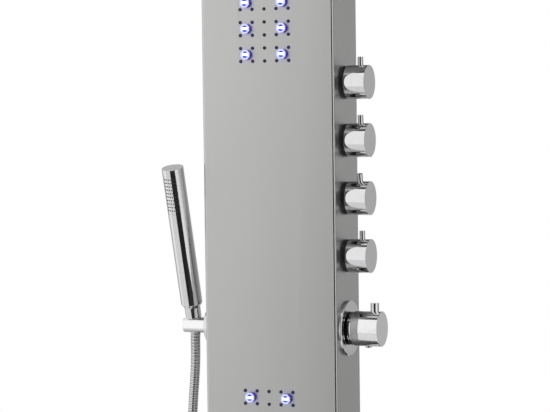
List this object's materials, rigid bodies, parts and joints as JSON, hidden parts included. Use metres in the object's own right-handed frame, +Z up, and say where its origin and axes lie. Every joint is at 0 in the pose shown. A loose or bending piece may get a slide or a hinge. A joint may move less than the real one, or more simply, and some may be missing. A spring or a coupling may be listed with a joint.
{
  "type": "shower panel column",
  "caption": "Brushed steel wall shower column with overhead rain head, lit body jets, side stop valves, thermostatic mixer and a hand shower on a hose.",
  "frame": {"origin": "middle of the upper wall bracket's two holes, on the wall face", "axes": "+Z up along the column, +Y into the wall, +X to the right as one faces the column, towards the stop valves"},
  "size_m": [0.3072, 0.48, 1.854],
  "materials": {
    "brushed_steel_sheet": "brushed, satin",
    "zinc_plated_steel": "zinc plated",
    "bright_chrome": "polished chrome",
    "hose_steel": "interlocked bright steel band",
    "cast_brass": "as cast and turned",
    "grey_polymer": "moulded",
    "black_polymer": "moulded",
    "white_pipe": "extruded",
    "black_silicone": "moulded",
    "frosted_clear": "translucent",
    "clear_lens": "clear, lit from behind",
    "light_board": "blue lights on a ring board",
    "grey_spray_plate": "moulded, fine nozzles",
    "spring_steel": "drawn wire"
  },
  "bodies": {
    "column": {"bottom_cap": "brushed_steel_sheet", "column_shell": "brushed_steel_sheet", "hand_shower_pipe": "white_pipe", "head_nozzle_mat": "black_silicone", "head_pipe": "white_pipe", "head_plate": "brushed_steel_sheet", "head_shell": "brushed_steel_sheet", "head_water_box": "grey_polymer", "holder_arm": "bright_chrome", "holder_base": "bright_chrome", "hose": "hose_steel", "hose_nut_lower": "bright_chrome", "hose_outlet": "cast_brass", "jet_rings": "frosted_clear", "jet_sockets": "black_polymer", "led_rings": "light_board", "light_generator": "grey_polymer", "lock_nuts": "zinc_plated_steel", "lower_jet_pipe": "white_pipe", "lower_nozzle_mat": "black_silicone", "lower_water_box": "grey_polymer", "mixer_body": "cast_brass", "mixer_cartridge": "grey_polymer", "mixer_collar": "bright_chrome", "mixer_flange": "bright_chrome", "mixer_sleeve": "bright_chrome", "side_screws": "bright_chrome", "stop_cartridges": "grey_polymer", "stop_rings": "black_polymer", "supply_pipe": "white_pipe", "upper_jet_pipe": "white_pipe", "upper_nozzle_mat": "black_silicone", "upper_water_box": "grey_polymer", "valve_manifold": "cast_brass", "wall_brackets": "zinc_plated_steel"},
    "stop_handle_1": {"stop_knob_1": "bright_chrome", "stop_spindle_1": "cast_brass"},
    "stop_handle_2": {"stop_knob_2": "bright_chrome", "stop_spindle_2": "cast_brass"},
    "stop_handle_3": {"stop_knob_3": "bright_chrome", "stop_spindle_3": "cast_brass"},
    "stop_handle_4": {"stop_knob_4": "bright_chrome", "stop_spindle_4": "cast_brass"},
    "mixer_handle": {"mixer_knob": "bright_chrome", "mixer_spindle": "cast_brass", "override_spring": "spring_steel"},
    "button": {"override_button": "bright_chrome"},
    "jet_1": {"jet_nozzle_1": "clear_lens"},
    "jet_2": {"jet_nozzle_2": "clear_lens"},
    "jet_3": {"jet_nozzle_3": "clear_lens"},
    "jet_4": {"jet_nozzle_4": "clear_lens"},
    "jet_5": {"jet_nozzle_5": "clear_lens"},
    "jet_6": {"jet_nozzle_6": "clear_lens"},
    "jet_7": {"jet_nozzle_7": "clear_lens"},
    "jet_8": {"jet_nozzle_8": "clear_lens"},
    "hand_shower": {"hand_shower_tube": "bright_chrome", "hand_shower_cap": "bright_chrome", "hand_shower_insert": "grey_spray_plate", "hose_nut_upper": "bright_chrome"}
  },
  "joints": [
    {"name": "stop_turn_1", "type": "hinge", "parent": "column", "child": "stop_handle_1", "pos_m": [0.099, -0.045, -0.5881], "axis": [1, 0, 0], "range_deg": [0, 90]},
    {"name": "stop_turn_2", "type": "hinge", "parent": "column", "child": "stop_handle_2", "pos_m": [0.099, -0.045, -0.6685], "axis": [1, 0, 0], "range_deg": [-4, 86]},
    {"name": "stop_turn_3", "type": "hinge", "parent": "column", "child": "stop_handle_3", "pos_m": [0.099, -0.045, -0.7489], "axis": [1, 0, 0], "range_deg": [-13, 77]},
    {"name": "stop_turn_4", "type": "hinge", "parent": "column", "child": "stop_handle_4", "pos_m": [0.099, -0.045, -0.8293], "axis": [1, 0, 0], "range_deg": [0, 90]},
    {"name": "temperature_turn", "type": "hinge", "parent": "column", "child": "mixer_handle", "pos_m": [0.099, -0.045, -0.9306], "axis": [1, 0, 0], "range_deg": [-150, 90]},
    {"name": "button_press", "type": "slide", "parent": "mixer_handle", "child": "button", "axis": [0, 0, 1], "range_m": [0, 0.0015], "stiffness_N_per_m": 600, "springref_m": -0.002, "deforming": ["override_spring"]},
    {"name": "jet_tilt_1", "type": "hinge", "parent": "column", "child": "jet_1", "pos_m": [-0.0301, -0.0929, -0.476], "axis": [1, 0, 0], "range_deg": [-10, 10]},
    {"name": "jet_tilt_2", "type": "hinge", "parent": "column", "child": "jet_2", "pos_m": [0.0239, -0.0929, -0.476], "axis": [1, 0, 0], "range_deg": [-10, 10]},
    {"name": "jet_tilt_3", "type": "hinge", "parent": "column", "child": "jet_3", "pos_m": [-0.0301, -0.0929, -0.512], "axis": [1, 0, 0], "range_deg": [-10, 10]},
    {"name": "jet_tilt_4", "type": "hinge", "parent": "column", "child": "jet_4", "pos_m": [0.0239, -0.0929, -0.512], "axis": [1, 0, 0], "range_deg": [-10, 10]},
    {"name": "jet_tilt_5", "type": "hinge", "parent": "column", "child": "jet_5", "pos_m": [-0.0301, -0.0929, -0.548], "axis": [1, 0, 0], "range_deg": [-10, 10]},
    {"name": "jet_tilt_6", "type": "hinge", "parent": "column", "child": "jet_6", "pos_m": [0.0239, -0.0929, -0.548], "axis": [1, 0, 0], "range_deg": [-10, 10]},
    {"name": "jet_tilt_7", "type": "hinge", "parent": "column", "child": "jet_7", "pos_m": [-0.0301, -0.0929, -1.0268], "axis": [1, 0, 0], "range_deg": [-10, 10]},
    {"name": "jet_tilt_8", "type": "hinge", "parent": "column", "child": "jet_8", "pos_m": [0.0239, -0.0929, -1.0268], "axis": [1, 0, 0], "range_deg": [-10, 10]},
    {"name": "hand_shower_lift", "type": "slide", "parent": "column", "child": "hand_shower", "axis": [0, -0.284, 0.9588], "range_m": [0, 0.045]}
  ]
}
